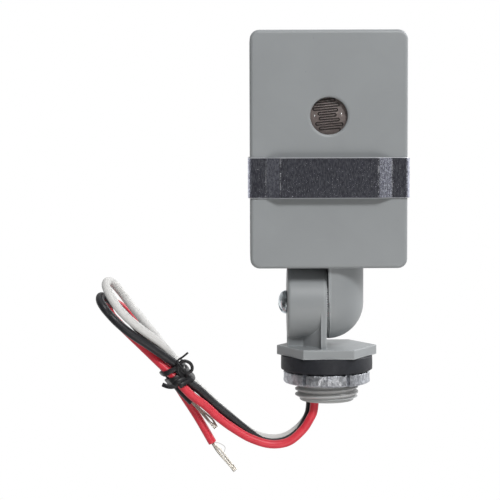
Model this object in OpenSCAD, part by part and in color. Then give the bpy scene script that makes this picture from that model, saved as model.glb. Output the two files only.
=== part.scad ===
// Stem-mount photocell switch: a swivelling head with a light eye and a sliding light shade,
// a hex flange with a half-inch pipe thread stem, a gasket, a locknut and three leads.
// Millimetres. Z runs up the stem, the eye looks along -Y, X is to the right of the eye.
// The origin is on the stem axis, in the middle of the free thread below the locknut.

// which node to draw

/* [Stem and flange] */
// over the thread crests, half-inch straight pipe thread
thread_d = 20.9;
thread_pitch = 1.814;
thread_depth = 1.15;
crest_flat = 0.4;
// the part of the stem inside the gasket and nut
neck_d = 20.4;
bore_d = 15.2;
// end of the stem and underside of the flange, from the origin
stem_end_z = -3.9;
seat_z = 11.2;
hex_across_flats = 28.6;
hex_t = 3.1;
// from the underside of the locknut down to the first crest
crest_drop = 0.3;

/* [Gasket and locknut] */
gasket_d = 30.2;
gasket_t = 5.2;
nut_d = 28.5;
nut_t = 4.0;
nut_bite = 0.8;
nut_slots = 6;
// bore of both, clear of the thread crests
ring_bore_d = 21.5;

/* [Swivel] */
axis_z = 28.6;
knuckle_r = 11.9;
drum_len = 13.1;
drum_edge_r = 1.0;
drum_wall = 2.5;
elbow_r = 12.1;
elbow_wall = 2.4;
plate_t = 2.4;
// pedestal: half depth at the screw side and at the plate, and where it starts to flare
pedestal_half_y = 3.6;
pedestal_foot_y = 9.6;
pedestal_flare_x = 7.9;
pedestal_wall = 1.4;
tooth_count = 96;
tooth_h = 0.5;
// from the joint plane to the tooth tips
tip_gap = 0.06;
screw_d = 4.1;
screw_head_d = 7.75;
screw_head_h = 2.8;
screw_slot_w = 1.2;
screw_slot_h = 1.3;
screw_tip_x = 10.2;
screw_fit = 0.2;
clamp_nut_af = 8.7;
clamp_nut_t = 3.1;
clamp_nut_fit = 0.1;
clamp_seat_x = 5.6;
clamp_seat_d = 11.2;
clamp_seat_len = 4.4;

/* [Head] */
head_w = 50.4;
head_h = 76.2;
head_d = 30;
head_wall = 2.2;
// from the swivel axis to the underside of the head
head_rise = 12.2;
corner_r = 3.0;
edge_r = 1.2;
// cover let into the back
rear_inset = 1.2;
rear_corner_r = 2.0;
rear_fit = 0.1;

/* [Eye] */
eye_d = 11.9;
// from the top of the head down to the eye
eye_drop = 27.4;
eye_break = 0.7;
// front wall left as a lip before the window
eye_lip_t = 1.0;
eye_ring_len = 4.6;
eye_ring_wall = 1.6;
window_d = 15.4;
window_t = 0.8;
window_fit = 0.1;
cell_d = 12.7;
cell_t = 2.3;
cell_fit = 0.05;
cell_floor_t = 1.0;
cell_back_d = 8.8;
// folded track: runs, their spacing, and the half lengths of the short and the long ones
track_w = 0.3;
track_t = 0.15;
track_pitch = 0.84;
track_runs = 12;
track_short = 2.9;
track_long = 4.1;
track_turn = 5;
cell_lead_d = 0.8;
cell_lead_pitch = 5.2;

/* [Light shade] */
shade_t = 0.6;
shade_h = 13.0;
// from the top of the head down to the lower edge of the shade
shade_drop = 53.6;
shade_raise = 2.3;
// half width of the raised middle, and of where the slopes reach the head
shade_flat_half = 15.6;
shade_foot_half = 20;
shade_hook = 1.2;
shade_gap = 0.1;
shade_travel_up = 22;
shade_travel_down = 13;
groove_y = 4.6;
groove_w = 1.3;

/* [Switch board] */
board_w = 41;
board_h = 56;
board_t = 1.8;
board_corner_r = 2.0;
// from the underside of the head up to the lower edge of the board
board_rise = 10.1;
// from the middle plane of the head to the face of the board
board_y = 3.0;
post_pitch_x = 34;
post_pitch_z = 48;
post_d = 5.6;
pilot_d = 2.2;
board_hole_d = 3.4;
board_screw_d = 2.1;
board_screw_len = 10;
board_screw_head_d = 5.4;
board_screw_head_h = 1.8;
terminal_first_x = -1.5;
terminal_pitch = 6;
terminal_w = 5;
terminal_h = 10;
terminal_t = 0.8;
clamp_block_w = 4.6;
clamp_block_h = 4;
clamp_block_depth = 4.6;

/* [Bimetal switch] */
switch_x = -12;
// from the lower edge of the board up to the foot of the switch
switch_rise = 6.1;
foot_size = 6;
arm_w = 5;
arm_t = 0.7;
arm_len = 23;
contact_d = 3.4;
contact_t = 1.2;
// from the foot of the arm up to the contacts
contact_rise = 20;
setting_head_d = 3.4;
setting_head_h = 1.6;
setting_slot = 0.6;
heater_d = 5;
heater_len = 12;
heater_gap = 1.2;
heater_rise = 5;
heater_wire_d = 0.8;
heater_wire_out = 2;
heater_wire_x = 6.6;

/* [Leads] */
lead_d = 2.8;
strand_d = 1.2;
strip_length = 12;
tie_w = 5;
tie_t = 0.8;
tie_half_w = 5.5;
tie_half_d = 5.3;
tie_end_d = 1.5;
tie_end_len = 9;

/* [Hidden] */
$fn = 64;

head_z = axis_z + head_rise;
head_top = head_z + head_h;
hex_top = seat_z + hex_t;
eye_z = head_top - eye_drop;
shade_z = head_top - shade_drop;
front_y = -head_d / 2;
inner_y = front_y + head_wall;
valley_x = tip_gap + tooth_h;
nut_z = seat_z - gasket_t - nut_t;
head_mid_z = head_z + head_h / 2;
board_low_z = head_z + board_rise;
board_mid_z = board_low_z + board_h / 2;
seat_d = window_d + 2 * window_fit;
eye_seat_y = front_y + eye_lip_t;
cell_back_y = eye_seat_y + eye_ring_len - cell_floor_t;
cell_face_y = cell_back_y - cell_t;
switch_z = board_low_z + switch_rise;
arm_y = board_y - foot_size - arm_t;
contact_z = switch_z + contact_rise;

moulding_grey = [0.60, 0.62, 0.63];
zinc = [0.72, 0.73, 0.75];
brass = [0.80, 0.66, 0.36];

// Routes of the leads, from the swivel joint down the stem and out to the cut end.
white_route = [
  [-1, 4, 24.6], [-3.3, 3.6, 22.6], [-3.7, 3.4, 19.5], [-3.7, 3.4, 14], [-3.8, 3.8, 6],
  [-3.6, 3.9, -1], [-5.4, 4, -8.2], [-7.2, 3.8, -11.9], [-10.3, 3.5, -15], [-13.8, 3.3, -17],
  [-18, 3.1, -17.6], [-22.8, 2.9, -16.6], [-27.6, 2.7, -13.8], [-32.6, 2.5, -9.5],
  [-37.7, 2.5, -4.9], [-42.1, 3.1, -0.6], [-46.2, 3.8, 3.1], [-50, 3.7, 8.5], [-52.4, 3.6, 11.5],
  [-55, 3.8, 14.6], [-57.5, 4.2, 17.9], [-60.2, 4.7, 21.1], [-62.8, 5.4, 24.3], [-65.4, 6, 27.5],
  [-68.3, 5.2, 31.6], [-70.7, 2.6, 34.7], [-72, -1.1, 35.8], [-72.4, -4.8, 34.6],
  [-70.8, -7.6, 31.6], [-68, -8.6, 27.5], [-64.9, -8.2, 24.1], [-61.6, -6.8, 21.1],
  [-58.3, -5, 18.3], [-55.2, -3, 15.5], [-52.5, -0.9, 12.3], [-50.5, 0.6, 8.7], [-48.8, 0.8, 5.4],
  [-47, 0.8, 2.1], [-44.7, 1.6, -1.7]
];
black_route = [
  [-1, -0.4, 24.2], [-3.6, -0.3, 22.2], [-4.4, 0, 19], [-4.4, 0, 14], [-5, 0.6, 6],
  [-5.3, 0.9, -1], [-5.6, 1, -7.5], [-7, 0.9, -11.4], [-9.2, 0.6, -14.8], [-12.8, 0.2, -17.4],
  [-17.2, -0.1, -18.4], [-21.7, -0.3, -17.6], [-26.4, -0.5, -14.3], [-32, -0.7, -9.6],
  [-37.3, -0.9, -4.8], [-42, -1.4, -0.1], [-46.1, -2, 3.6], [-49.2, -2.5, 7.6],
  [-52.4, -3.4, 10.3], [-55.8, -4.5, 12.9], [-59.2, -5.4, 15.4], [-62.4, -6.2, 17.6],
  [-65.7, -6.8, 20.1], [-68.8, -7, 22.9], [-71, -6.8, 25.2], [-72.9, -7, 27.6],
  [-74.2, -5.4, 29.5], [-74.4, -2.4, 30.8], [-73, 0.4, 30.2], [-70.4, 1.3, 28.3],
  [-67.5, 1.8, 25.2], [-64.2, 1.7, 21.6], [-61.1, 1.4, 17.9], [-58.3, 1.5, 13.1],
  [-55.6, 1.4, 6.9], [-50.2, -0.6, 1], [-44.6, -0.5, -4.5]
];
red_route = [
  [-1, -4.8, 24.6], [-3.3, -3.9, 22.6], [-3.7, -3.4, 19.5], [-3.7, -3.4, 14], [-4, -2.6, 6],
  [-4, -2.2, -1], [-4.4, -2.6, -7], [-5.7, -2.8, -10.1], [-8.2, -3, -13.8], [-12.8, -3.2, -17.5],
  [-18.7, -3.2, -18.3], [-25.1, -3.2, -16.4], [-31.1, -3.1, -12.9], [-35.8, -3, -9.4],
  [-40.2, -3, -5.3], [-44.9, -3, -1.7], [-50, -2.8, 3.8], [-55.3, -1.8, 8.7], [-60.2, -1.1, 13.4],
  [-64.1, -1.1, 17.2], [-66.8, -1.2, 19.9], [-68.8, -0.8, 21.9], [-71, 0.4, 24.1],
  [-72.2, 3.2, 26.3], [-71.7, 6.2, 27.7], [-70.4, 9.7, 27.3], [-68.2, 12.3, 25.5],
  [-65.7, 13.2, 22.8], [-63.1, 12.3, 19.8], [-60.4, 10.2, 16.4], [-57.8, 7.8, 12.9],
  [-55.3, 6, 9.4], [-51.7, 3.2, 3.8], [-47.6, 2.5, -2.7], [-43, 2.5, -9.9], [-38, 2.4, -18.7]
];
// Routes inside the head, from the swivel joint up to the terminals.
inner_white_route = [
  [1, 4, 24.6], [3.2, 4.2, 27], [3.6, 4.2, 33], [6.2, 3.4, 40], [9.4, 1.6, 45.5], [10.5, 0.7, 48.6],
  [10.5, 0.7, 50.6]
];
inner_black_route = [
  [1, -0.4, 24.2], [3, -3.8, 26.5], [3.2, -3.7, 33], [2.8, -1.6, 40], [1.8, 0, 44.4],
  [-0.9, 0.7, 47.4], [-1.5, 0.7, 49], [-1.5, 0.7, 50.6]
];
inner_red_route = [
  [1, -4.8, 24.6], [3, -6.8, 26.5], [3.4, -6.7, 33], [4.4, -4.4, 40], [4.6, -0.8, 45.5],
  [4.5, 0.7, 48.8], [4.5, 0.7, 50.6]
];
tie_at = [-48.7, 0.6, 4.2];
tie_turn = 39.7;

function unit(v) = v / norm(v);
function arc(c, r, a0, a1, n) =
  [for (i = [0:n]) let (a = a0 + (a1 - a0) * i / n) c + r * [cos(a), sin(a)]];

// outline of a w by h rectangle with rounded corners, centred, in order
function round_rect(w, h, r, n = 5) = concat(
  arc([w / 2 - r, h / 2 - r], r, 0, 90, n), arc([-w / 2 + r, h / 2 - r], r, 90, 180, n),
  arc([-w / 2 + r, -h / 2 + r], r, 180, 270, n), arc([w / 2 - r, -h / 2 + r], r, 270, 360, n));

// direction of a route at point i
function along(p, i) = unit(p[min(i + 1, len(p) - 1)] - p[max(i - 1, 0)]);

// frames carried along a route without twist: each is a side vector
function carry(p, i, s) = let (t = along(p, i), q = s - (s * t) * t) unit(q);
function sides(p, i = 0, s = [0, 1, 0]) =
  let (c = carry(p, i, s)) i == len(p) - 1 ? [c] : concat([c], sides(p, i + 1, c));

// a round lead along a route, with eight sides
module tube(p, d) {
  n = 8;
  s = sides(p);
  rings = [for (i = [0:len(p) - 1]) let (t = along(p, i), b = cross(t, s[i]))
    for (k = [0:n - 1]) p[i] + d / 2 * (cos(360 * k / n) * s[i] + sin(360 * k / n) * b)];
  last = (len(p) - 1) * n;
  walls = [for (i = [0:len(p) - 2], k = [0:n - 1], h = [0, 1])
    let (a = i * n + k, b = i * n + (k + 1) % n) h == 0 ? [a, a + n, b] : [b, a + n, b + n]];
  polyhedron(rings, concat(walls, [[for (k = [0:n - 1]) k]],
    [[for (k = [0:n - 1]) last + n - 1 - k]]));
}

// turns a shape built along +Z so that it points along v
module point_along(v)
  rotate([0, 0, atan2(v[1], v[0])]) rotate([0, acos(v[2] / norm(v)), 0]) children();

module bare_end(p)
  translate(p[len(p) - 1]) point_along(along(p, len(p) - 1)) cylinder(d = strand_d, h = strip_length);

// ring of radial face teeth about X, tips at x = -tip_gap, seated to x = -depth
module face_teeth(r_in, r_out, depth) {
  n = 2 * tooth_count;
  pts = [for (i = [0:n - 1]) let (a = 360 * i / n, x = i % 2 == 0 ? -tip_gap : -tip_gap - tooth_h,
    c = cos(a), s = sin(a)) each
    [[x, r_out * c, r_out * s], [x, r_in * c, r_in * s],
     [-depth, r_in * c, r_in * s], [-depth, r_out * c, r_out * s]]];
  faces = [for (i = [0:n - 1], k = [0:3], h = [0, 1]) let (j = (i + 1) % n,
    a = 4 * i + k, b = 4 * i + (k + 1) % 4, c = 4 * j + k, d = 4 * j + (k + 1) % 4)
    h == 0 ? [a, b, c] : [b, d, c]];
  polyhedron(pts, faces);
}

// Head

module head_block() {
  rings = [for (k = [0:4]) let (a = 90 * k / 4) [edge_r * (1 - sin(a)), front_y + edge_r * (1 - cos(a))]];
  levels = concat(rings, [[0, head_d / 2]]);
  n = len(round_rect(head_w, head_h, corner_r));
  pts = [for (l = levels) for (q = round_rect(head_w - 2 * l[0], head_h - 2 * l[0], corner_r - l[0]))
    [q[0], l[1], head_mid_z + q[1]]];
  m = len(levels);
  walls = [for (i = [0:m - 2], k = [0:n - 1], h = [0, 1])
    let (a = i * n + k, b = i * n + (k + 1) % n) h == 0 ? [a, b, a + n] : [b, b + n, a + n]];
  polyhedron(pts, concat(walls, [[for (k = [0:n - 1]) n - 1 - k]],
    [[for (k = [0:n - 1]) (m - 1) * n + k]]));
}

// half of an upright round-ended post about Z, on the +X side
module half_post(r, up)
  translate([0, 0, axis_z]) rotate([0, 0, -90]) rotate_extrude(angle = 180)
    polygon(concat([[0, up], [r, up]], arc([0, 0], r, 0, -90, 12)));

module rear_outline(grow) translate([0, head_mid_z])
  polygon(round_rect(head_w - 2 * (rear_inset - grow), head_h - 2 * (rear_inset - grow), rear_corner_r));

module from_front(y) translate([0, y, 0]) rotate([90, 0, 0]) children();

board_posts = [for (i = [-1, 1], k = [-1, 1])
  [i * post_pitch_x / 2, board_mid_z + k * post_pitch_z / 2]];

module housing() color(moulding_grey) {
  difference() {
    union() {
      difference() {
        union() {
          head_block();
          intersection() {
            half_post(elbow_r, head_rise + 1);
            translate([valley_x, -20, 0]) cube([40, 40, 60]);
          }
        }
        translate([-head_w / 2 + head_wall, inner_y, head_z + head_wall])
          cube([head_w - 2 * head_wall, head_d, head_h - 2 * head_wall]);
        intersection() {
          half_post(elbow_r - elbow_wall, head_rise + head_wall + 1);
          translate([valley_x - 1, -20, 0]) cube([40, 40, 60]);
        }
        from_front(head_d / 2 + 0.1) linear_extrude(head_wall + 0.1) rear_outline(rear_fit);
      }
      // seat for the clamp nut
      translate([clamp_seat_x, 0, axis_z]) rotate([0, 90, 0])
        cylinder(d = clamp_seat_d, h = clamp_seat_len);
      // ring round the eye for the window and the cell
      translate([0, 0, eye_z]) from_front(eye_seat_y + eye_ring_len)
        cylinder(d = seat_d + 2 * eye_ring_wall, h = eye_ring_len);
      for (p = board_posts) translate([p[0], 0, p[1]]) from_front(board_y)
        cylinder(d = post_d, h = board_y - inner_y + head_wall / 2);
    }
    // the eye, with its edge broken, and the seat behind it
    translate([0, 0, eye_z]) from_front(0) cylinder(d = eye_d, h = 40);
    translate([0, 0, eye_z]) from_front(front_y + eye_break - 0.2)
      cylinder(d1 = eye_d, d2 = eye_d + 2 * eye_break, h = eye_break);
    translate([0, 0, eye_z]) from_front(eye_seat_y + eye_ring_len + 1)
      cylinder(d = seat_d, h = eye_ring_len + 1);
    // grooves in the sides for the ends of the shade
    for (s = [-1, 1])
      translate([s * head_w / 2 - shade_hook - 0.2, groove_y, shade_z - shade_travel_down - 0.5])
        cube([2 * shade_hook + 0.4, groove_w, shade_h + shade_travel_down + shade_travel_up + 1]);
    // clamp nut pocket and screw hole
    translate([clamp_seat_x - 1, 0, axis_z]) rotate([0, 90, 0])
      cylinder(d = (clamp_nut_af + 2 * clamp_nut_fit) / cos(30),
        h = clamp_nut_t + 2 * clamp_nut_fit + 1, $fn = 6);
    translate([clamp_seat_x - 1, 0, axis_z]) rotate([0, 90, 0])
      cylinder(d = screw_d + 2 * screw_fit, h = screw_tip_x + 2 * screw_fit - clamp_seat_x + 1);
    for (p = board_posts) translate([p[0], 0, p[1]]) from_front(board_y + 1)
      cylinder(d = pilot_d, h = board_screw_len);
  }
  translate([0, 0, axis_z]) mirror([1, 0, 0])
    face_teeth(elbow_r - elbow_wall + 0.3, elbow_r - 0.1, valley_x + 0.6);
}

module rear_cover() color(moulding_grey)
  from_front(head_d / 2) linear_extrude(head_wall) rear_outline(0);

module eye_window() color([0.80, 0.82, 0.80])
  translate([0, 0, eye_z]) from_front(eye_seat_y + window_t) cylinder(d = window_d, h = window_t);

module cell_retainer() color([0.10, 0.10, 0.10]) translate([0, 0, eye_z]) difference() {
  from_front(eye_seat_y + eye_ring_len) cylinder(d = window_d, h = eye_ring_len - window_t);
  from_front(cell_back_y) cylinder(d = cell_d + 2 * cell_fit, h = eye_ring_len);
  from_front(eye_seat_y + eye_ring_len + 1) cylinder(d = cell_back_d, h = eye_ring_len);
}

module photocell_wafer() color([0.45, 0.38, 0.32])
  translate([0, 0, eye_z]) from_front(cell_back_y) cylinder(d = cell_d, h = cell_t);

// the track folds back and forth between the ends of its runs: short ones in the middle of the cell
function run_half(i) = let (m = (track_runs - 1) / 2)
  abs(i - m) < track_runs / 4 ? track_short : track_long;
function turn_x(i) = (i % 2 == 0 ? 1 : -1) * min(run_half(i), run_half(i + 1));

// folded light-sensitive track on the face of the wafer
module photocell_track() color([0.16, 0.10, 0.08])
  translate([0, 0, eye_z]) from_front(cell_face_y) linear_extrude(track_t) rotate(track_turn)
    translate([0, -(track_runs - 1) / 2 * track_pitch]) {
      for (i = [0:track_runs - 1]) let (a = i == 0 ? -track_short : turn_x(i - 1),
          b = i == track_runs - 1 ? -turn_x(i - 1) : turn_x(i))
        translate([min(a, b), i * track_pitch - track_w / 2]) square([abs(b - a), track_w]);
      for (i = [0:track_runs - 2]) translate([turn_x(i), (i + 0.5) * track_pitch]) intersection() {
        difference() {
          circle(r = (track_pitch + track_w) / 2, $fn = 32);
          circle(r = (track_pitch - track_w) / 2, $fn = 32);
        }
        translate([i % 2 == 0 ? -0.01 : -track_pitch + 0.01, -track_pitch])
          square([track_pitch, 2 * track_pitch]);
      }
    }

module photocell_leads() color(zinc) for (s = [-1, 1])
  translate([s * cell_lead_pitch / 2, 0, eye_z]) from_front(board_y)
    cylinder(d = cell_lead_d, h = board_y - cell_back_y, $fn = 24);

// Light shade: one bent strip of sheet metal round the front and sides

hook_y = groove_y + (groove_w - shade_t) / 2;
shade_half = concat(
  [[0, front_y - shade_gap - shade_raise], [shade_flat_half, front_y - shade_gap - shade_raise],
   [shade_foot_half, front_y - shade_gap]],
  arc([head_w / 2 - edge_r, front_y + edge_r], edge_r + shade_gap, -90, 0, 4),
  [[head_w / 2 + shade_gap, hook_y], [head_w / 2 - shade_hook, hook_y]]);
shade_path = concat([for (i = [len(shade_half) - 1:-1:1]) [-shade_half[i][0], shade_half[i][1]]],
  shade_half);

function normal(a, b) = let (d = unit(b - a)) [d[1], -d[0]];
function offset_at(p, i, t) =
  let (n0 = normal(p[max(i - 1, 0)], p[max(i, 1)]),
       n1 = normal(p[min(i, len(p) - 2)], p[min(i + 1, len(p) - 1)]), m = unit(n0 + n1))
  p[i] + t / (m * n0) * m;

module light_shade() color(zinc) translate([0, 0, shade_z]) linear_extrude(shade_h)
  polygon(concat(shade_path,
    [for (i = [len(shade_path) - 1:-1:0]) offset_at(shade_path, i, shade_t)]));

// Swivel clamp

module swivel_screw() color(zinc) translate([-drum_len - 0.05, 0, axis_z]) rotate([0, -90, 0])
  difference() {
    rotate_extrude() polygon(concat(
      [[0, -drum_len - 0.05 - screw_tip_x], [screw_d / 2 - 0.5, -drum_len - 0.05 - screw_tip_x],
       [screw_d / 2, -drum_len + 0.5 - screw_tip_x], [screw_d / 2, 0], [screw_head_d / 2, 0],
       [screw_head_d / 2, 0.7]],
      [for (a = [15:15:75]) [(screw_head_d / 2 - 0.1) * cos(a), 0.7 + (screw_head_h - 0.7) * sin(a)]],
      [[0, screw_head_h]]));
    translate([-screw_slot_w / 2, -screw_head_d, screw_head_h - screw_slot_h])
      cube([screw_slot_w, 2 * screw_head_d, screw_slot_h + 1]);
  }

module swivel_nut() color(zinc) translate([clamp_seat_x + clamp_nut_fit, 0, axis_z]) rotate([0, 90, 0])
  difference() {
    cylinder(d = clamp_nut_af / cos(30), h = clamp_nut_t, $fn = 6);
    translate([0, 0, -1]) cylinder(d = screw_d + 0.1, h = clamp_nut_t + 2);
  }

// Switch parts on the board

module board() color([0.36, 0.22, 0.12]) difference() {
  from_front(board_y + board_t) linear_extrude(board_t) translate([0, board_mid_z])
    polygon(round_rect(board_w, board_h, board_corner_r));
  for (p = board_posts) translate([p[0], 0, p[1]]) from_front(board_y + board_t + 1)
    cylinder(d = board_hole_d, h = board_t + 2);
  for (s = [-1, 1]) translate([s * cell_lead_pitch / 2, 0, eye_z]) from_front(board_y + board_t + 1)
    cylinder(d = cell_lead_d + 0.4, h = board_t + 2);
}

module board_screws() color(zinc) for (p = board_posts) translate([p[0], 0, p[1]])
  from_front(board_y + board_t + board_screw_head_h) {
    cylinder(d = board_screw_head_d, h = board_screw_head_h);
    cylinder(d = board_screw_d, h = board_screw_len);
  }

module bimetal_post() color(brass)
  translate([switch_x - foot_size / 2, board_y - foot_size, switch_z]) cube(foot_size);

module bimetal_arm() color([0.62, 0.58, 0.52])
  translate([switch_x - arm_w / 2, arm_y, switch_z]) cube([arm_w, arm_t, arm_len]);

module contact(y) color([0.85, 0.85, 0.87])
  translate([switch_x, 0, contact_z]) from_front(y) cylinder(d = contact_d, h = contact_t);
module moving_contact() contact(arm_y + arm_t + contact_t);
module fixed_contact() contact(arm_y + arm_t + 2 * contact_t);

module fixed_bracket() color(brass)
  translate([switch_x - foot_size / 2, board_y - foot_size + 2 * contact_t, contact_z - foot_size / 2])
    cube([foot_size, foot_size - 2 * contact_t, foot_size]);

// heats the arm: a rod with a wire from each end to the board
module heater_resistor() color([0.76, 0.70, 0.58])
  translate([switch_x, arm_y - heater_gap - heater_d / 2, switch_z + heater_rise]) {
    cylinder(d = heater_d, h = heater_len);
    for (z = [-heater_wire_out, heater_len + heater_wire_out]) {
      translate([0, 0, min(z, heater_len) - 0.4])
        cylinder(d = heater_wire_d, h = heater_wire_out + 0.8, $fn = 24);
      translate([-0.4, 0, z]) rotate([0, 90, 0])
        cylinder(d = heater_wire_d, h = heater_wire_x + 0.8, $fn = 24);
      translate([heater_wire_x, -0.4, z]) rotate([-90, 0, 0])
        cylinder(d = heater_wire_d, h = board_y - arm_y + heater_gap + heater_d / 2 + 0.4, $fn = 24);
    }
  }

// bears on the foot of the bimetal arm and sets the level of light it trips at
module setting_screw() color(brass) translate([switch_x, arm_y, switch_z + foot_size / 2]) difference() {
  from_front(0) cylinder(d = setting_head_d, h = setting_head_h);
  translate([-setting_head_d, -setting_head_h - 1, -setting_slot / 2])
    cube([2 * setting_head_d, 1 + setting_head_h / 2, setting_slot]);
}

// tab on the board, with a block that clamps the bare end of a lead
module terminal(k) color(brass)
  translate([terminal_first_x + k * terminal_pitch, board_y, board_low_z]) {
    translate([-terminal_w / 2, -terminal_t, 0]) cube([terminal_w, terminal_t, terminal_h]);
    translate([-clamp_block_w / 2, -clamp_block_depth, 0])
      cube([clamp_block_w, clamp_block_depth, clamp_block_h]);
  }
module line_terminal() terminal(0);
module load_terminal() terminal(1);
module neutral_terminal() terminal(2);

module inner_lead_white() color([0.90, 0.90, 0.88]) tube(inner_white_route, lead_d);
module inner_lead_black() color([0.06, 0.06, 0.07]) tube(inner_black_route, lead_d);
module inner_lead_red() color([0.75, 0.06, 0.09]) tube(inner_red_route, lead_d);

// Base: drum, pedestal, hex flange and stem in one moulding

// outline of the stem below the flange, with three thread crests at its free end
stem_outline = let (r = thread_d / 2, f = crest_flat / 2, q = thread_depth * tan(30))
  concat([[0, seat_z + 1], [neck_d / 2, seat_z + 1], [neck_d / 2, nut_z - 0.02]],
    [for (k = [0:2]) let (c = nut_z - crest_drop - k * thread_pitch) each
      [[r, c + f], [r, c - f], [r - thread_depth, c - f - q],
       [r - thread_depth, c + f + q - thread_pitch]]],
    [[r - thread_depth - 0.2, stem_end_z], [0, stem_end_z]]);

module swivel_base() color(moulding_grey) {
  difference() {
    union() {
      translate([-drum_len, 0, axis_z]) rotate([0, 90, 0]) rotate_extrude()
        polygon(concat([[0, 0]], arc([knuckle_r - drum_edge_r, drum_edge_r], drum_edge_r, -90, 0, 4),
          [[knuckle_r, drum_len - valley_x], [0, drum_len - valley_x]]));
      translate([-plate_t, -knuckle_r, hex_top - 1])
        cube([plate_t - valley_x, 2 * knuckle_r, axis_z - hex_top + 1]);
      translate([0, 0, hex_top - 1]) linear_extrude(axis_z - hex_top - 4) polygon([
        [-drum_len, -pedestal_half_y], [-pedestal_flare_x, -pedestal_half_y],
        [-plate_t, -pedestal_foot_y], [-plate_t + 0.5, -pedestal_foot_y],
        [-plate_t + 0.5, pedestal_foot_y], [-plate_t, pedestal_foot_y],
        [-pedestal_flare_x, pedestal_half_y], [-drum_len, pedestal_half_y]]);
      translate([0, 0, seat_z]) cylinder(d = hex_across_flats / cos(30), h = hex_t, $fn = 6);
      rotate_extrude() polygon(stem_outline);
    }
    // hollow of the drum, open at the joint
    translate([-drum_len + drum_wall, 0, axis_z]) rotate([0, 90, 0])
      cylinder(r = knuckle_r - drum_wall, h = drum_len + 1);
    // way for the leads from the stem bore up into the drum
    translate([0, 0, stem_end_z - 1]) cylinder(d = bore_d, h = seat_z + 1.2 - stem_end_z + 1);
    translate([0, 0, seat_z]) linear_extrude(axis_z - seat_z - 4) let (
      x0 = -pedestal_flare_x + pedestal_wall / 2, x1 = -plate_t + 0.4,
      y0 = pedestal_half_y - pedestal_wall, y1 = pedestal_foot_y - pedestal_wall - 1)
      polygon([[x0, -y0], [x1, -y1], [x1, y1], [x0, y0]]);
    translate([-drum_len - 1, 0, axis_z]) rotate([0, 90, 0])
      cylinder(d = screw_d + 3 * screw_fit, h = drum_wall + 2);
  }
  translate([0, 0, axis_z]) face_teeth(knuckle_r - drum_wall + 0.3, knuckle_r - 0.1, valley_x + 0.6);
}

module gasket() color([0.10, 0.10, 0.11]) rotate_extrude() polygon(concat(
  [[ring_bore_d / 2, seat_z], [ring_bore_d / 2, seat_z - gasket_t]],
  arc([gasket_d / 2 - 0.8, seat_z - gasket_t + 0.8], 0.8, -90, 0, 4),
  arc([gasket_d / 2 - 0.5, seat_z - 0.5], 0.5, 0, 90, 3)));

module locknut() color(zinc) translate([0, 0, nut_z]) difference() {
  rotate_extrude() polygon([[ring_bore_d / 2, 0], [nut_d / 2 - 0.6, 0], [nut_d / 2, 0.6],
    [nut_d / 2, nut_t - 0.3], [nut_d / 2 - 0.5, nut_t], [nut_d / 2 - 1.6, nut_t],
    [nut_d / 2 - 2.4, nut_t - nut_bite], [ring_bore_d / 2, nut_t - nut_bite]]);
  for (i = [0:nut_slots - 1]) rotate([0, 0, 360 / nut_slots * (i + 0.5) - 90])
    translate([nut_d / 2 - 1.9, -0.55, -1]) cube([4, 1.1, nut_t + 2]);
  for (i = [0:23]) rotate([0, 0, 15 * i + 5]) translate([nut_d / 2, 0, nut_t + 0.35])
    rotate([45, 0, 0]) cube([6, 1.6, 1.6], center = true);
}

// Leads outside

module lead_white() color([0.90, 0.90, 0.88]) tube(white_route, lead_d);
module lead_black() color([0.06, 0.06, 0.07]) tube(black_route, lead_d);
module lead_red() color([0.75, 0.06, 0.09]) tube(red_route, lead_d);
module strands_white() color([0.78, 0.77, 0.74]) bare_end(white_route);
module strands_black() color([0.78, 0.77, 0.74]) bare_end(black_route);
module strands_red() color([0.78, 0.77, 0.74]) bare_end(red_route);

module tie_ring(grow) polygon([for (i = [0:23])
  [(tie_half_w + grow) * cos(15 * i), (tie_half_d + grow) * sin(15 * i)]]);

module twist_tie() color([0.07, 0.07, 0.08]) translate(tie_at) rotate([0, -tie_turn, 0]) {
  translate([0, 0, -tie_w / 2]) linear_extrude(tie_w) difference() {
    tie_ring(tie_t);
    tie_ring(0);
  }
  // twisted ends
  translate([tie_half_w / 2 + 0.4, -tie_half_d - tie_t / 2, 0])
    cylinder(d = tie_end_d, h = tie_end_len, center = true, $fn = 16);
}

housing();
rear_cover();
eye_window();
cell_retainer();
photocell_wafer();
photocell_track();
photocell_leads();
light_shade();
swivel_screw();
swivel_nut();
board();
board_screws();
bimetal_post();
bimetal_arm();
moving_contact();
fixed_bracket();
fixed_contact();
heater_resistor();
setting_screw();
line_terminal();
load_terminal();
neutral_terminal();
inner_lead_white();
inner_lead_black();
inner_lead_red();
swivel_base();
gasket();
locknut();
lead_white();
lead_black();
lead_red();
strands_white();
strands_black();
strands_red();
twist_tie();
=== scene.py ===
"""Stem-mount photocell switch, dressed for the camera.

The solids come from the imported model. What shows is made again here with finer forms: the moulded head
and swivel, the bent zinc shade, the cell behind its window, the cast locknut, the threaded stem, the
leads with their bare strands, and the tie round them. Lengths are in millimetres until a mesh is made.
"""

from math import copysign, cos, hypot, pi, radians, sin, sqrt, tan

import bmesh
import bpy
from mathutils import Matrix, Vector, noise


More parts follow.
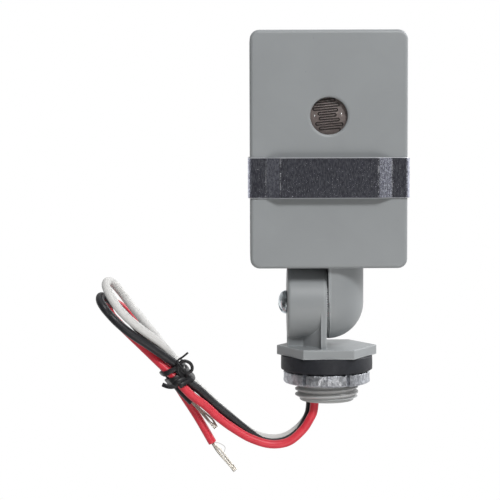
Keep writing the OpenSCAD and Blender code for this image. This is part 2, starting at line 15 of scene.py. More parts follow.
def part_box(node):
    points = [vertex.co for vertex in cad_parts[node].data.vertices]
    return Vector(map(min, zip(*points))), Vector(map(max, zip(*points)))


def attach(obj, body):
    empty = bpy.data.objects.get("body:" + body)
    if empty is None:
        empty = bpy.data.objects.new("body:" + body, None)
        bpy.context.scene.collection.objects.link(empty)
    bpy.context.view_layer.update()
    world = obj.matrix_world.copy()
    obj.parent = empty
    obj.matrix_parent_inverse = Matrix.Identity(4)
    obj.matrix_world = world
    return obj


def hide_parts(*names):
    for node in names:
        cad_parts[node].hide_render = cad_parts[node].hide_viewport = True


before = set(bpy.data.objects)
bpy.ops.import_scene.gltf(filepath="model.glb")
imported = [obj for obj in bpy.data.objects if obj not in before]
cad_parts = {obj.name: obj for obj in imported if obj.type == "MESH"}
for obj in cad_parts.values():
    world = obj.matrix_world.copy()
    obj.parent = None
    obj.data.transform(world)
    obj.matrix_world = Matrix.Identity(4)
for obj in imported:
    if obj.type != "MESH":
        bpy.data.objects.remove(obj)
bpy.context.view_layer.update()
MM = 0.001
scene = bpy.context.scene
scene.view_settings.view_transform = "Standard"


def added(name, data):
    """A new object in the scene."""
    ob = bpy.data.objects.new(name, data)
    scene.collection.objects.link(ob)
    return ob


# Camera, at the angle of the photograph; its lens and place were fitted to points of the object

CAMERA_AT = (-27.16, -528.2, 83.52)
CAMERA_TURN = (4.083, 0.207, -0.193)
SENSOR_WIDTH = 36
LENS = 115.68


def make_camera():
    """Looks along +Y, turned by CAMERA_TURN: degrees down, to the right, and rolled."""
    cam = bpy.data.cameras.new("camera")
    cam.sensor_fit = "HORIZONTAL"
    cam.sensor_width = SENSOR_WIDTH
    cam.lens = LENS
    cam.clip_start = 0.01
    down, right, roll = (radians(a) for a in CAMERA_TURN)
    turn = Matrix.Rotation(-right, 4, "Z") @ Matrix.Rotation(pi / 2 - down, 4, "X")
    scene.camera = added("camera", cam)
    place = Matrix.Translation(Vector(CAMERA_AT) * MM)
    scene.camera.matrix_world = place @ turn @ Matrix.Rotation(roll, 4, "Z")


make_camera()


# Sizes that several pieces share, in millimetres

LEAD_D = 2.8
FRONT_Y = -15.0
EYE_Z = 89.6
# swivel: axis, drum, toothed faces, and the plate that carries one of them
AXIS_Z = 28.6
KNUCKLE_R = 11.9
DRUM_LEN = 13.1
TEETH = 96
TOOTH_H = 0.5
TIP_GAP = 0.06
VALLEY_X = TIP_GAP + TOOTH_H
PLATE_T = 2.4
# flange and threaded stem
SEAT_Z = 11.2
HEX_T = 3.1
HEX_ACROSS_FLATS = 28.6
STEM_END_Z = -3.9
BORE_R = 7.6
CREST_R = 10.45
THREAD_DEPTH = 1.15
PITCH = 1.814
CREST_FLAT = 0.4
# gasket and locknut
RING_BORE_R = 10.75
NUT_Z = 2.0
NUT_T = 4.0
NUT_R = 14.25
NUT_BITE = 0.8
GASKET_Z = NUT_Z + NUT_T
# shade: sheet, rise of its middle, half widths of the middle and of the foot of its slopes
SHADE_T = 0.6
SHADE_RAISE = 2.3
SHADE_FLAT_HALF = 15.6
SHADE_FOOT_HALF = 20.0


# Materials

class Nodes:
    """A node tree and short ways to add to it."""

    def __init__(self, owner):
        owner.use_nodes = True
        self.tree = owner.node_tree
        self.tree.nodes.clear()

    def add(self, kind, sockets=(), **props):
        """A new node with its properties, and its sockets wired or set."""
        node = self.tree.nodes.new("ShaderNode" + kind)
        for key, value in props.items():
            setattr(node, key, value)
        for key, value in dict(sockets).items():
            self.wire(value, node.inputs[key])
        return node

    def wire(self, value, socket):
        """Links an output to the socket, or sets the socket to a colour or a number."""
        if hasattr(value, "is_linked"):
            self.tree.links.new(value, socket)
        elif isinstance(value, (tuple, list)):
            socket.default_value = (*value, 1)
        else:
            socket.default_value = value

    def math(self, op, a, b=0.0, clamp=False):
        return self.add("Math", {0: a, 1: b}, operation=op, use_clamp=clamp).outputs[0]

    def step(self, value, low, high, to_low=0.0, to_high=1.0):
        """Smooth step from to_low to to_high while value goes from low to high."""
        sockets = enumerate((value, low, high, to_low, to_high))
        return self.add("MapRange", sockets, interpolation_type="SMOOTHSTEP").outputs[0]

    def coordinates(self, kind):
        """A vector from Texture Coordinate and its three parts."""
        vector = self.add("TexCoord").outputs[kind]
        return vector, self.add("SeparateXYZ", {0: vector}).outputs


class Surface(Nodes):
    """A principled material. Scales of its textures are per millimetre."""

    def __init__(self, name, rough, metal=0.0, ior=1.46, clear=0.0):
        self.m = bpy.data.materials.new(name)
        super().__init__(self.m)
        sockets = {"Roughness": rough, "Metallic": metal, "IOR": ior, "Transmission Weight": clear}
        self.b = self.add("BsdfPrincipled", sockets)
        self.out = self.add("OutputMaterial", {"Surface": self.b.outputs[0]})
        self.co = self.add("TexCoord").outputs["Object"]

    def axis(self, i):
        return self.coordinates("Object")[1][i]

    def place(self, stretch=(1, 1, 1), turn=(0, 0, 0)):
        n = self.add("Mapping", {"Vector": self.co})
        n.inputs["Scale"].default_value = [1000 * k for k in stretch]
        n.inputs["Rotation"].default_value = [radians(a) for a in turn]
        return n.outputs[0]

    def noise(self, scale, detail=3.0, rough=0.55, stretch=(1, 1, 1), turn=(0, 0, 0), warp=0.0):
        sockets = {"Vector": self.place(stretch, turn), "Scale": scale, "Detail": detail, "Roughness": rough,
                   "Distortion": warp}
        return self.add("TexNoise", sockets).outputs["Fac"]

    def cells(self, scale):
        return self.add("TexVoronoi", {"Vector": self.place(), "Scale": scale}).outputs["Distance"]

    def ramp(self, fac, low, high, a=(0, 0, 0), b=(1, 1, 1)):
        n = self.add("ValToRGB", {0: fac})
        e = n.color_ramp.elements
        e[0].position, e[1].position = low, high
        e[0].color, e[1].color = (*a, 1), (*b, 1)
        return n.outputs["Color"]

    def mix(self, fac, a, b, share=1.0):
        """a with a share of b laid over it where fac is 1."""
        fac = fac if share == 1.0 else self.math("MULTIPLY", fac, share)
        return self.add("Mix", {0: fac, 6: a, 7: b}, data_type="RGBA").outputs[2]

    def span(self, fac, low, high):
        return self.add("MapRange", {0: fac, 3: low, 4: high}).outputs[0]

    def colour(self, c):
        self.wire(c, self.b.inputs["Base Color"])

    def rough(self, fac, low, high):
        self.wire(self.span(fac, low, high), self.b.inputs["Roughness"])

    def bump(self, *layers):
        """Layers of (height, strength, depth in millimetres)."""
        last = None
        for height, strength, depth in layers:
            n = self.add("Bump", {"Strength": strength, "Distance": depth * MM, "Height": height})
            if last:
                self.wire(last, n.inputs["Normal"])
            last = n.outputs[0]
        self.wire(last, self.b.inputs["Normal"])

    def edges(self, radius):
        """1 on edges narrower than radius, 0 on flats."""
        bevel = self.add("Bevel", {"Radius": radius * MM}, samples=6).outputs[0]
        normal = self.add("NewGeometry").outputs["Normal"]
        dot = self.add("VectorMath", {0: bevel, 1: normal}, operation="DOT_PRODUCT").outputs["Value"]
        return self.ramp(self.math("SUBTRACT", 1.0, dot), 0.01, 0.12)


def times(colour, k):
    return [min(1, c * k) for c in colour]


def moulding(name, shade, painted_light_below=None):
    """Grey plastic: spark-eroded grain, flow marks, specks; edges painted lighter as a painted highlight;
    below a height, if one is given, painted paler as painted light from below.
    """
    s = Surface(name, rough=0.42, ior=1.47)
    base = s.ramp(s.noise(0.05, 3, warp=0.6), 0.3, 0.7, times(shade, 0.965), times(shade, 1.03))
    spot = s.ramp(s.cells(0.26), 0.03, 0.055, (1, 1, 1), (0, 0, 0))
    pick = s.ramp(s.noise(0.13, 1), 0.52, 0.60)
    base = s.mix(s.math("MULTIPLY", spot, pick), base, times(shade, 0.55), 0.35)
    scuff = s.ramp(s.noise(0.5, 4, stretch=(0.25, 0.25, 2.2), turn=(0, 28, 0)), 0.66, 0.78)
    base = s.mix(scuff, base, times(shade, 1.6), 0.10)
    if painted_light_below is not None:
        # painted light: below this height the colour is painted paler, standing in for light from below
        low = s.math("LESS_THAN", s.axis(2), painted_light_below * MM)
        base = s.mix(s.math("MULTIPLY", low, s.span(s.noise(0.7, 3), 0.5, 0.95)), base, PAINTED_BOUNCE_PALE)
    # painted highlight: edges are painted lighter, as where they would catch the light
    s.colour(s.mix(s.edges(0.9), base, times(shade, 1.8), 0.55))
    s.rough(s.noise(0.6, 3), 0.36, 0.52)
    s.bump((s.noise(5.5, 2), 0.22, 0.02), (s.noise(0.12, 2), 0.15, 0.08))
    return s.m


def zinc_sheet(name, cut=False):
    """Bright zinc-plated strip: drawn streaks, pale flecks, handling scratches, bends rubbed bright."""
    s = Surface(name, rough=0.15, metal=1.0)
    streak = s.noise(1.0, 3, 0.6, stretch=(2.4, 2.4, 0.4))
    blotch = s.noise(0.32, 5, 0.6, warp=0.8)
    grain = s.noise(1.6, 3, 0.65, stretch=(1.3, 1.3, 0.75))
    fleck = s.noise(1.9, 2, 0.5, stretch=(1.4, 1.4, 0.45))
    base = s.ramp(blotch, 0.3, 0.72, (0.47, 0.475, 0.58), (0.58, 0.595, 0.73))
    base = s.mix(s.ramp(streak, 0.40, 0.60), base, (0.31, 0.31, 0.39), 0.55)
    base = s.mix(s.ramp(fleck, 0.42, 0.60), base, (0.86, 0.89, 1.0), 0.85)
    fine = s.ramp(s.noise(0.9, 2, stretch=(0.12, 0.12, 4), turn=(0, 86, 0)), 0.735, 0.765)
    cross = s.ramp(s.noise(0.8, 2, stretch=(0.2, 0.2, 4), turn=(0, -58, 20)), 0.75, 0.78)
    scratch = s.math("MAXIMUM", fine, cross)
    x = s.math("ABSOLUTE", s.math("MULTIPLY", s.axis(0), 1000.0))
    bends = []
    for at in (SHADE_FLAT_HALF, SHADE_FOOT_HALF + 0.1):
        off = s.math("DIVIDE", s.math("ABSOLUTE", s.math("SUBTRACT", x, at)), 0.35)
        bends.append(s.math("SUBTRACT", 1.0, off, clamp=True))
    rubbed = s.math("MULTIPLY", s.math("MAXIMUM", *bends), s.ramp(s.noise(0.8, 3), 0.35, 0.60))
    base = s.mix(s.math("MAXIMUM", scratch, rubbed), base, (0.96, 0.96, 0.97), 0.6)
    s.colour((0.70, 0.71, 0.74) if cut else base)
    worn = s.math("ADD", s.math("MULTIPLY", scratch, 0.12), s.math("MULTIPLY", rubbed, 0.26))
    sheen = s.span(blotch, 0.30, 0.50) if cut else s.span(blotch, 0.11, 0.18)
    s.wire(s.math("ADD", sheen, worn), s.b.inputs["Roughness"])
    s.bump((streak, 0.5, 0.05), (grain, 1.0, 0.084), (scratch, 0.4, 0.02))
    return s.m


def plated(name, tint):
    """Zinc-plated steel: small scale and turning marks."""
    s = Surface(name, rough=0.25, metal=1.0)
    mark = s.noise(0.8, 4)
    s.colour(s.ramp(mark, 0.3, 0.7, times(tint, 0.8), tint))
    s.rough(mark, 0.16, 0.34)
    s.bump((s.noise(4.0, 3), 0.3, 0.02), (s.noise(0.6, 2), 0.2, 0.05))
    return s.m


def cast_zinc(name):
    """Die-cast zinc: dull skin with brighter rubbed patches and shallow pits."""
    s = Surface(name, rough=0.45, metal=1.0)
    dull = s.noise(0.5, 5, 0.62, warp=0.6)
    rub = s.ramp(s.noise(0.75, 4, 0.65), 0.46, 0.62)
    base = s.ramp(dull, 0.3, 0.7, (0.32, 0.33, 0.36), (0.55, 0.57, 0.61))
    base = s.mix(rub, base, (0.86, 0.88, 0.92), 0.55)
    s.colour(s.mix(s.edges(0.3), base, (0.90, 0.90, 0.91), 0.4))
    s.rough(dull, 0.36, 0.62)
    s.bump((s.noise(1.1, 4, 0.6), 0.7, 0.14), (s.cells(0.9), 0.30, 0.08))
    return s.m


def rubber(name):
    """Black rubber: a dusty bloom and fine moulding grain."""
    s = Surface(name, rough=0.6, ior=1.5)
    dust = s.ramp(s.noise(0.5, 5, 0.65), 0.45, 0.85)
    s.colour(s.mix(dust, (0.013, 0.0145, 0.020), (0.036, 0.039, 0.048), 0.5))
    s.rough(s.noise(1.5, 3), 0.48, 0.72)
    s.bump((s.noise(3.5, 3), 0.3, 0.03), (s.noise(0.5, 2, stretch=(1, 1, 3)), 0.25, 0.08))
    return s.m


def sleeve(name, colour, deep, sheen):
    """Extruded PVC insulation: smudges, soft gloss, a skin that isn't quite even."""
    s = Surface(name, rough=sheen, ior=1.52)
    smudge = s.noise(0.35, 4, warp=0.4)
    s.colour(s.ramp(smudge, 0.3, 0.75, deep, colour))
    s.rough(s.noise(0.9, 3), sheen - 0.05, sheen + 0.14)
    s.bump((s.noise(0.5, 2), 0.10, 0.03))
    return s.m


def plain(name, a, b, rough, metal=0.0, scale=0.8, grain=0.03, stretch=(1, 1, 1)):
    """Small inner pieces: two tones through noise, uneven roughness, fine bump."""
    s = Surface(name, rough=sum(rough) / 2, metal=metal)
    tone = s.noise(scale, 4, stretch=stretch)
    s.colour(s.ramp(tone, 0.3, 0.7, a, b))
    s.rough(tone, *rough)
    s.bump((s.noise(scale * 4, 3, stretch=stretch), 0.3, grain))
    return s.m


def window(name):
    """Thin clear disc. Lamps shine straight through it, so the cell behind it is lit."""
    s = Surface(name, rough=0.04, ior=1.45, clear=1.0)
    haze = s.noise(0.7, 3)
    s.colour(s.ramp(haze, 0.3, 0.7, (0.93, 0.94, 0.93), (0.99, 0.99, 0.98)))
    s.rough(haze, 0.01, 0.05)
    path = s.add("LightPath").outputs
    through = s.math("MAXIMUM", path["Is Shadow Ray"], path["Is Diffuse Ray"])
    both = s.add("MixShader", {0: through, 1: s.b.outputs[0], 2: s.add("BsdfTransparent").outputs[0]})
    s.wire(both.outputs[0], s.out.inputs["Surface"])
    return s.m


GREY = (0.292, 0.308, 0.318)
# paler colour painted on the stem below the nut, as painted light from below
PAINTED_BOUNCE_PALE = (0.50, 0.495, 0.485)
# two tones, lowest and highest roughness, metal, scale, depth of grain and stretch
PLAIN = {
    "black_plastic": ((0.014, 0.014, 0.015), (0.03, 0.03, 0.032), (0.35, 0.5)),
    "cell_ceramic": ((0.135, 0.108, 0.104), (0.205, 0.17, 0.162), (0.3, 0.5), 0, 1.1),
    "cell_track": ((0.006, 0.003, 0.003), (0.014, 0.008, 0.008), (0.75, 0.9), 0, 2.0),
    "tinned_copper": ((0.46, 0.43, 0.38), (0.66, 0.63, 0.57), (0.35, 0.5), 0.65, 0.5, 0.01),
    "phenolic": ((0.10, 0.045, 0.02), (0.17, 0.08, 0.035), (0.4, 0.55), 0, 0.8, 0.03, (4, 1, 0.4)),
    "brass": ((0.58, 0.41, 0.14), (0.80, 0.62, 0.27), (0.2, 0.4), 1),
    "bimetal": ((0.42, 0.38, 0.33), (0.56, 0.52, 0.46), (0.25, 0.4), 1, 0.8, 0.03, (4, 1, 0.3)),
    "silver": ((0.76, 0.76, 0.78), (0.9, 0.9, 0.91), (0.15, 0.3), 1),
    "resistor_ceramic": ((0.48, 0.41, 0.28), (0.6, 0.53, 0.38), (0.5, 0.7)),
}
# colour, deeper colour and roughness
SLEEVES = {
    "white_insulation": ((0.77, 0.768, 0.755), (0.71, 0.705, 0.69), 0.42),
    "black_insulation": ((0.020, 0.0205, 0.025), (0.011, 0.011, 0.014), 0.40),
    "red_insulation": ((0.80, 0.046, 0.074), (0.68, 0.032, 0.054), 0.38),
    "tie_plastic": ((0.016, 0.016, 0.019), (0.008, 0.008, 0.010), 0.40),
}
M = {
    "grey_plastic": moulding("grey_plastic", GREY),
    # the base is painted paler below the middle of the nut, as painted light from below
    "base_plastic": moulding("base_plastic", GREY, painted_light_below=NUT_Z + NUT_T / 2),
    "window": window("clear_window"),
    "zinc_sheet": zinc_sheet("zinc_sheet"),
    "cut_edge": zinc_sheet("zinc_cut_edge", cut=True),
    "zinc_steel": plated("zinc_steel", (0.70, 0.76, 0.80)),
    "zinc_cast": cast_zinc("zinc_cast"),
    "rubber": rubber("rubber"),
    **{name: plain(name, *values) for name, values in PLAIN.items()},
    **{name: sleeve(name, *values) for name, values in SLEEVES.items()},
}


# Meshes

def piece(name, form, body, mat, replaces=(), sharp=32):
    """A new object from a form, (points, faces) in millimetres, riding on a body."""
    return dress(name, mesh_mm(name, form), body, mat, replaces, sharp)


def mesh_mm(name, form):
    """A new mesh from a form."""
    verts, faces = form
    me = bpy.data.meshes.new(name)
    me.from_pydata([tuple(c * MM for c in v) for v in verts], [], faces)
    return me


def dress(name, me, body, mat, replaces=(), sharp=32):
    """A new object from a mesh in metres, smooth but for sharp edges, with its materials and its body."""
    ob = added(name, me)
    face_outwards(me)
    me.shade_smooth()
    me.set_sharp_from_angle(angle=radians(sharp))
    mats = mat if isinstance(mat, (list, tuple)) else [mat]
    me.materials.clear()
    for m in mats:
        me.materials.append(M[m])
    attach(ob, body)
    if replaces:
        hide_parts(*replaces)
    return ob


def edit(me, work):
    """Runs work on the mesh as a bmesh and writes it back."""
    bm = bmesh.new()
    bm.from_mesh(me)
    work(bm)
    bm.to_mesh(me)
    bm.free()


def face_outwards(me):
    edit(me, lambda bm: bmesh.ops.recalc_face_normals(bm, faces=bm.faces))


def even_normals(ob):
    """Large faces lead the shading, so that flats stay flat beside small bevels."""
    m = ob.modifiers.new("even_normals", "WEIGHTED_NORMAL")
    m.weight = 60
    m.keep_sharp = True


def tool(name, form):
    """A closed form to be joined, cut away or rounded. The object goes once it is used."""
    me = mesh_mm(name, form)
    face_outwards(me)
    return added(name, me)


def baked(ob):
    """The object's mesh with its modifiers applied; the object itself goes."""
    me = bpy.data.meshes.new_from_object(ob.evaluated_get(bpy.context.evaluated_depsgraph_get()))
    bpy.data.objects.remove(ob)
    return me


def carve(first, steps):
    """first with (operation, tool) steps applied in turn, as one mesh."""
    for op, other in steps:
        b = first.modifiers.new(op, "BOOLEAN")
        b.operation = op
        b.solver = "EXACT"
        b.object = other
    me = baked(first)
    for _, other in steps:
        bpy.data.objects.remove(other)
    return me


def skin(rows, m, closed=False):
    """Quads between rows of m points each. closed joins the last row to the first."""
    return [(i * m + k, i * m + (k + 1) % m, (i + 1) % rows * m + (k + 1) % m, (i + 1) % rows * m + k)
            for i in range(rows if closed else rows - 1) for k in range(m)]


def caps(rows, m):
    """The two end faces of a tube of rows of m points."""
    return [tuple(range(m - 1, -1, -1)), tuple(range((rows - 1) * m, rows * m))]


def lathe(profile, n, axis="Z", at=(0, 0, 0)):
    """Closed solid of revolution from (radius, height) points, turned so that height runs along axis."""
    verts, faces, rows = [], [], []
    for r, h in profile:
        row = []
        for k in range(n if r > 1e-9 else 1):
            a = 2 * pi * k / n
            row.append(len(verts))
            p = (r * cos(a), r * sin(a), h)
            p = {"Z": p, "X": (p[2], p[0], p[1]), "-X": (-p[2], p[0], p[1]), "-Y": (p[0], -p[2], p[1])}[axis]
            verts.append([p[i] + at[i] for i in range(3)])
        rows.append(row)
    for a, b in zip(rows, rows[1:]):
        for i in range(n):
            j = (i + 1) % n
            quad = (a[i % len(a)], a[j % len(a)], b[j % len(b)], b[i % len(b)])
            # a row of one point gives triangles
            faces.append(tuple(dict.fromkeys(quad)))
    return verts, faces


def prism(outline, z0, z1):
    """Outline in XY, drawn from z0 to z1."""
    n = len(outline)
    return [(x, y, z) for z in (z0, z1) for x, y in outline], skin(2, n) + caps(2, n)


def round_edges(bm, edges, width, segments):
    bmesh.ops.bevel(bm, geom=edges, offset=width * MM, segments=segments, profile=0.5, affect="EDGES")


def soften(ob, width, segments=3, angle=40):
    """Rounds the edges of a tool mesh that turn by more than angle degrees."""
    def work(bm):
        whole = [e for e in bm.edges if len(e.link_faces) == 2]
        turned = [e for e in whole if e.calc_face_angle(0) > radians(angle)]
        round_edges(bm, turned, width, segments)

    edit(ob.data, work)
    return ob


def arc(c, r, a0, a1, n):
    """n steps round c, angles in degrees."""
    angles = [radians(a0 + (a1 - a0) * i / n) for i in range(n + 1)]
    return [(c[0] + r * cos(a), c[1] + r * sin(a)) for a in angles]


def clamp(x):
    return min(1.0, max(0.0, x))


def ease(x):
    """Smooth step from 0 to 1."""
    x = clamp(x)
    return x * x * (3 - 2 * x)


def curve_through(points, steps):
    """Smooth curve through points (Catmull-Rom), steps to each gap."""
    p = [Vector(q) for q in points]
    p = [2 * p[0] - p[1]] + p + [2 * p[-1] - p[-2]]
    out = []
    for i in range(1, len(p) - 2):
        a, b, c, d = p[i - 1:i + 3]
        for k in range(steps):
            t = k / steps
            out.append(0.5 * (2 * b + (c - a) * t + (2 * a - 5 * b + 4 * c - d) * t * t
                              + (3 * b - a - 3 * c + d) * t ** 3))
    return out + [p[-2]]


def sweep(path, section, normals=None, sizes=None):
    """Tube along path. section: (out, across) offsets; normals give the out direction, or it is carried."""
    n, m = len(path), len(section)
    verts, side = [], None
    for i, p in enumerate(path):
        t = (path[min(i + 1, n - 1)] - path[max(i - 1, 0)]).normalized()
        if normals:
            side = normals[i]
        elif side is None:
            side = Vector((0, 1, 0)) if abs(t.y) < 0.9 else Vector((1, 0, 0))
        side = (side - side.dot(t) * t).normalized()
        across = t.cross(side)
        k = sizes[i] if sizes else 1.0
        verts += [p + k * (a * side + b * across) for a, b in section]
    return verts, skin(n, m) + caps(n, m)


def ring(a, b, n):
    """n points round an ellipse."""
    return [(a * cos(2 * pi * k / n), b * sin(2 * pi * k / n)) for k in range(n)]


def joined(parts):
    """Several (points, faces) as one."""
    verts, faces = [], []
    for v, f in parts:
        k = len(verts)
        verts += list(v)
        faces += [tuple(i + k for i in q) for q in f]
    return verts, faces


def cad_mesh(node):
    """A copy of a CAD node's mesh, welded, with flat areas as single faces."""
    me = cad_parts[node].data.copy()

    def work(bm):
        bmesh.ops.remove_doubles(bm, verts=bm.verts, dist=1e-6)
        bmesh.ops.dissolve_limit(bm, angle_limit=radians(0.3), verts=bm.verts, edges=bm.edges)

    edit(me, work)
    return me


def box_mm(node):
    """Low and high corner of a CAD node, in millimetres."""
    return [Vector(c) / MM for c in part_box(node)]


def mirrored(half):
    """An outline from its half at negative y."""
    return half + [(x, -y) for x, y in half[::-1]]


# Leads: three stiff hook-up wires out of the stem, folded back once and tied

ROUTES = {
    "white": [
        (-1, 4, 24.6), (-3.3, 3.6, 22.6), (-3.7, 3.4, 19.5), (-3.7, 3.4, 14), (-3.8, 3.8, 6),
        (-3.6, 3.9, -1), (-5.4, 4, -8.2), (-7.2, 3.8, -11.9), (-10.3, 3.5, -15), (-13.8, 3.3, -17),
        (-18, 3.1, -17.6), (-22.8, 2.9, -16.6), (-27.6, 2.7, -13.8), (-32.6, 2.5, -9.5),
        (-37.7, 2.5, -4.9), (-42.1, 3.1, -0.6), (-46.2, 3.8, 3.1), (-50, 3.7, 8.5),
        (-52.4, 3.6, 11.5), (-55, 3.8, 14.6), (-57.5, 4.2, 17.9), (-60.2, 4.7, 21.1),
        (-62.8, 5.4, 24.3), (-65.4, 6, 27.5), (-68.3, 5.2, 31.6), (-70.7, 2.6, 34.7),
        (-72, -1.1, 35.8), (-72.4, -4.8, 34.6), (-70.8, -7.6, 31.6), (-68, -8.6, 27.5),
        (-64.9, -8.2, 24.1), (-61.6, -6.8, 21.1), (-58.3, -5, 18.3), (-55.2, -3, 15.5),
        (-52.5, -0.9, 12.3), (-50.5, 0.6, 8.7), (-48.8, 0.8, 5.4), (-47, 0.9, 2.1),
        (-44.7, 1.6, -1.7)],
    "black": [
        (-1, -0.4, 24.2), (-3.6, -0.3, 22.2), (-4.4, 0, 19), (-4.4, 0, 14), (-5, 0.6, 6),
        (-5.3, 0.9, -1), (-5.6, 1, -7.5), (-7, 0.9, -11.4), (-9.2, 0.6, -14.8), (-12.8, 0.2, -17.4),
        (-17.2, -0.1, -18.4), (-21.7, -0.3, -17.6), (-26.4, -0.5, -14.3), (-32, -0.7, -9.6),
        (-37.3, -0.9, -5.1), (-42, -1.3, -0.6), (-46.1, -1.7, 2.9), (-49.2, -2.5, 7.6),
        (-52.4, -3.4, 10.3), (-55.8, -4.5, 12.9), (-59.2, -5.4, 15.4), (-62.4, -6.2, 17.6),
        (-65.7, -6.8, 20.1), (-68.8, -7, 22.9), (-71, -6.8, 25.2), (-72.9, -7, 27.6),
        (-74.2, -5.4, 29.5), (-74.4, -2.4, 30.8), (-73, 0.4, 30.2), (-70.4, 1.3, 28.3),
        (-67.5, 1.8, 25.2), (-64.2, 1.7, 21.6), (-61.1, 1.4, 17.9), (-58.3, 1.5, 13.1),
        (-54.9, 1.5, 8), (-49.7, -0.1, 1), (-44.6, -0.6, -4.5)],
    "red": [
        (-1, -4.8, 24.6), (-3.3, -3.9, 22.6), (-3.7, -3.4, 19.5), (-3.7, -3.4, 14), (-4, -2.6, 6),
        (-4, -2.2, -1), (-4.4, -2.6, -7), (-5.7, -2.8, -10.1), (-8.2, -3, -13.8),
        (-12.8, -3.2, -17.5), (-18.7, -3.2, -18.3), (-25.1, -3.2, -16.4), (-31.1, -3.1, -12.9),
        (-35.8, -3, -9.4), (-40.2, -3.2, -5.3), (-44.9, -3.5, -1.7), (-50, -3.2, 3.8),
        (-55.3, -1.8, 8.7), (-60.2, -1.1, 13.4), (-64.1, -1.1, 17.2), (-66.8, -1.2, 19.9),
        (-68.8, -0.8, 21.9), (-71, 0.4, 24.1), (-72.2, 3.2, 26.3), (-71.7, 6.2, 27.7),
        (-70.4, 9.7, 27.3), (-68.2, 12.3, 25.5), (-65.7, 13.2, 22.8), (-63.1, 12.3, 19.8),
        (-60.4, 10.2, 16.4), (-57.8, 7.8, 12.9), (-55.3, 6, 9.4), (-51.7, 3.5, 3.8),
        (-47.6, 2.5, -2.7), (-43, 2.5, -9.9), (-38, 2.4, -18.7)],
}
# how the bare ends bend: points on from the cut, then how far two bundles of strands part on the way
ENDS = {
    "white": ([(3.0, 0.5, -2.9), (6.0, 1.1, -6.0), (8.6, 1.5, -8.6)], (0.10, 0.35, 0.45, 0.15)),
    "black": ([(3.0, 0.0, -3.2), (6.0, -0.3, -6.4), (8.3, -0.7, -8.9)], (0.10, 0.35, 0.95, 0.10)),
    "red": ([(2.0, -0.4, -2.7), (5.0, -1.1, -6.2), (8.2, -1.8, -9.6)], (0.10, 0.75, 0.60, 0.45)),
}
LEAD_PATHS = {k: curve_through(r, 10) for k, r in ROUTES.items()}
WIRES = 11
FIRST_BUNDLE = 7
CORE_STEPS = 7
WIRE_R = 0.16
HAIR_R = 0.07


def make_lead(colour):
    """Sleeve with its cut edge slightly rounded, and the bare strands that come out of it."""
    path = LEAD_PATHS[colour]
    t = (path[-1] - path[-2]).normalized()
    line = path + [path[-1] + t * 0.12]
    sizes = [1.0] * (len(path) - 1) + [0.985, 0.93]
    form = sweep(line, ring(LEAD_D / 2, LEAD_D / 2, 36), sizes=sizes)
    lead = piece("lead_" + colour + "_sleeve", form, "base", colour + "_insulation", ["lead_" + colour])
    bare = make_strands(colour, path[-1], t)
    return lead, bare, path


def make_strands(colour, start, t):
    """Tinned wires in two bundles that part and meet again, and fan out a little at the tip."""
    steps, part = ENDS[colour]
    core = curve_through([start - t * 1.0, start] + [start + Vector(s) for s in steps], CORE_STEPS)
    last = len(core) - 1
    parts = []
    for k in range(WIRES):
        a0 = 2 * pi * k / FIRST_BUNDLE + 0.5 * noise.noise((k * 3.1, 1.7 * len(colour), 0.5))
        side = -0.35 if k < FIRST_BUNDLE else 1.0
        # the last wire of each bundle is its middle one
        middle = k in (FIRST_BUNDLE - 1, WIRES - 1)
        around = 0.0 if middle else 0.36 if k < FIRST_BUNDLE else 0.24
        cut = 1.0 - 0.14 * abs(noise.noise((k * 1.7, 2.3 * len(colour), 7.7)))
        wire = []
        for i, p in enumerate(core):
            u = max(0.0, (i - CORE_STEPS) / (last - CORE_STEPS))
            if u > cut:
                break
            j = min(2, int(u * 3))
            w = part[j] + (part[j + 1] - part[j]) * (u * 3 - j)
            d = (core[min(i + 1, last)] - core[max(i - 1, 0)]).normalized()
            e1 = d.cross(Vector((0, 1, 0))).normalized()
            e2 = d.cross(e1)
            a = a0 + 1.1 * u
            r = around * (1 + 0.9 * max(0.0, u - 0.7) / 0.3)
            stray = 0.14 * u * noise.noise((k * 5.3, u * 2.2, len(colour)))
            wire.append(p + (side * w + r * cos(a) + stray) * e1 + r * sin(a) * e2)
        parts.append(sweep(wire, ring(WIRE_R, WIRE_R, 8)))
    if colour == "red":
        # one hair-thin strand stands off the rest
        hair = [(1.1, -0.4, 0.1), (2.9, -1.4, -0.3), (4.2, -2.2, -1.2), (4.0, -2.2, -2.8)]
        line = [start + t * 0.2] + [start + Vector(p) for p in hair]
        parts.append(sweep(curve_through(line, 6), ring(HAIR_R, HAIR_R, 6)))
    name = "strands_" + colour
    return piece(name + "_wires", joined(parts), "base", "tinned_copper", [name])


# Tie: a flat plastic-coated wire wound round the six runs, its ends twisted together in front

TIE_AT = Vector((-48.7, 0.6, 4.2))
TIE_TURN = radians(39.7)
TIE_ALONG = Vector((-sin(TIE_TURN), 0, cos(TIE_TURN)))
TIE_ACROSS = Vector((cos(TIE_TURN), 0, sin(TIE_TURN)))
TIE_BACK = Vector((0, 1, 0))
TIE_TURNS = 3.6
TIE_STEPS = 64
# after so many turns the wire hops up the bundle
TIE_HOP = 2.25
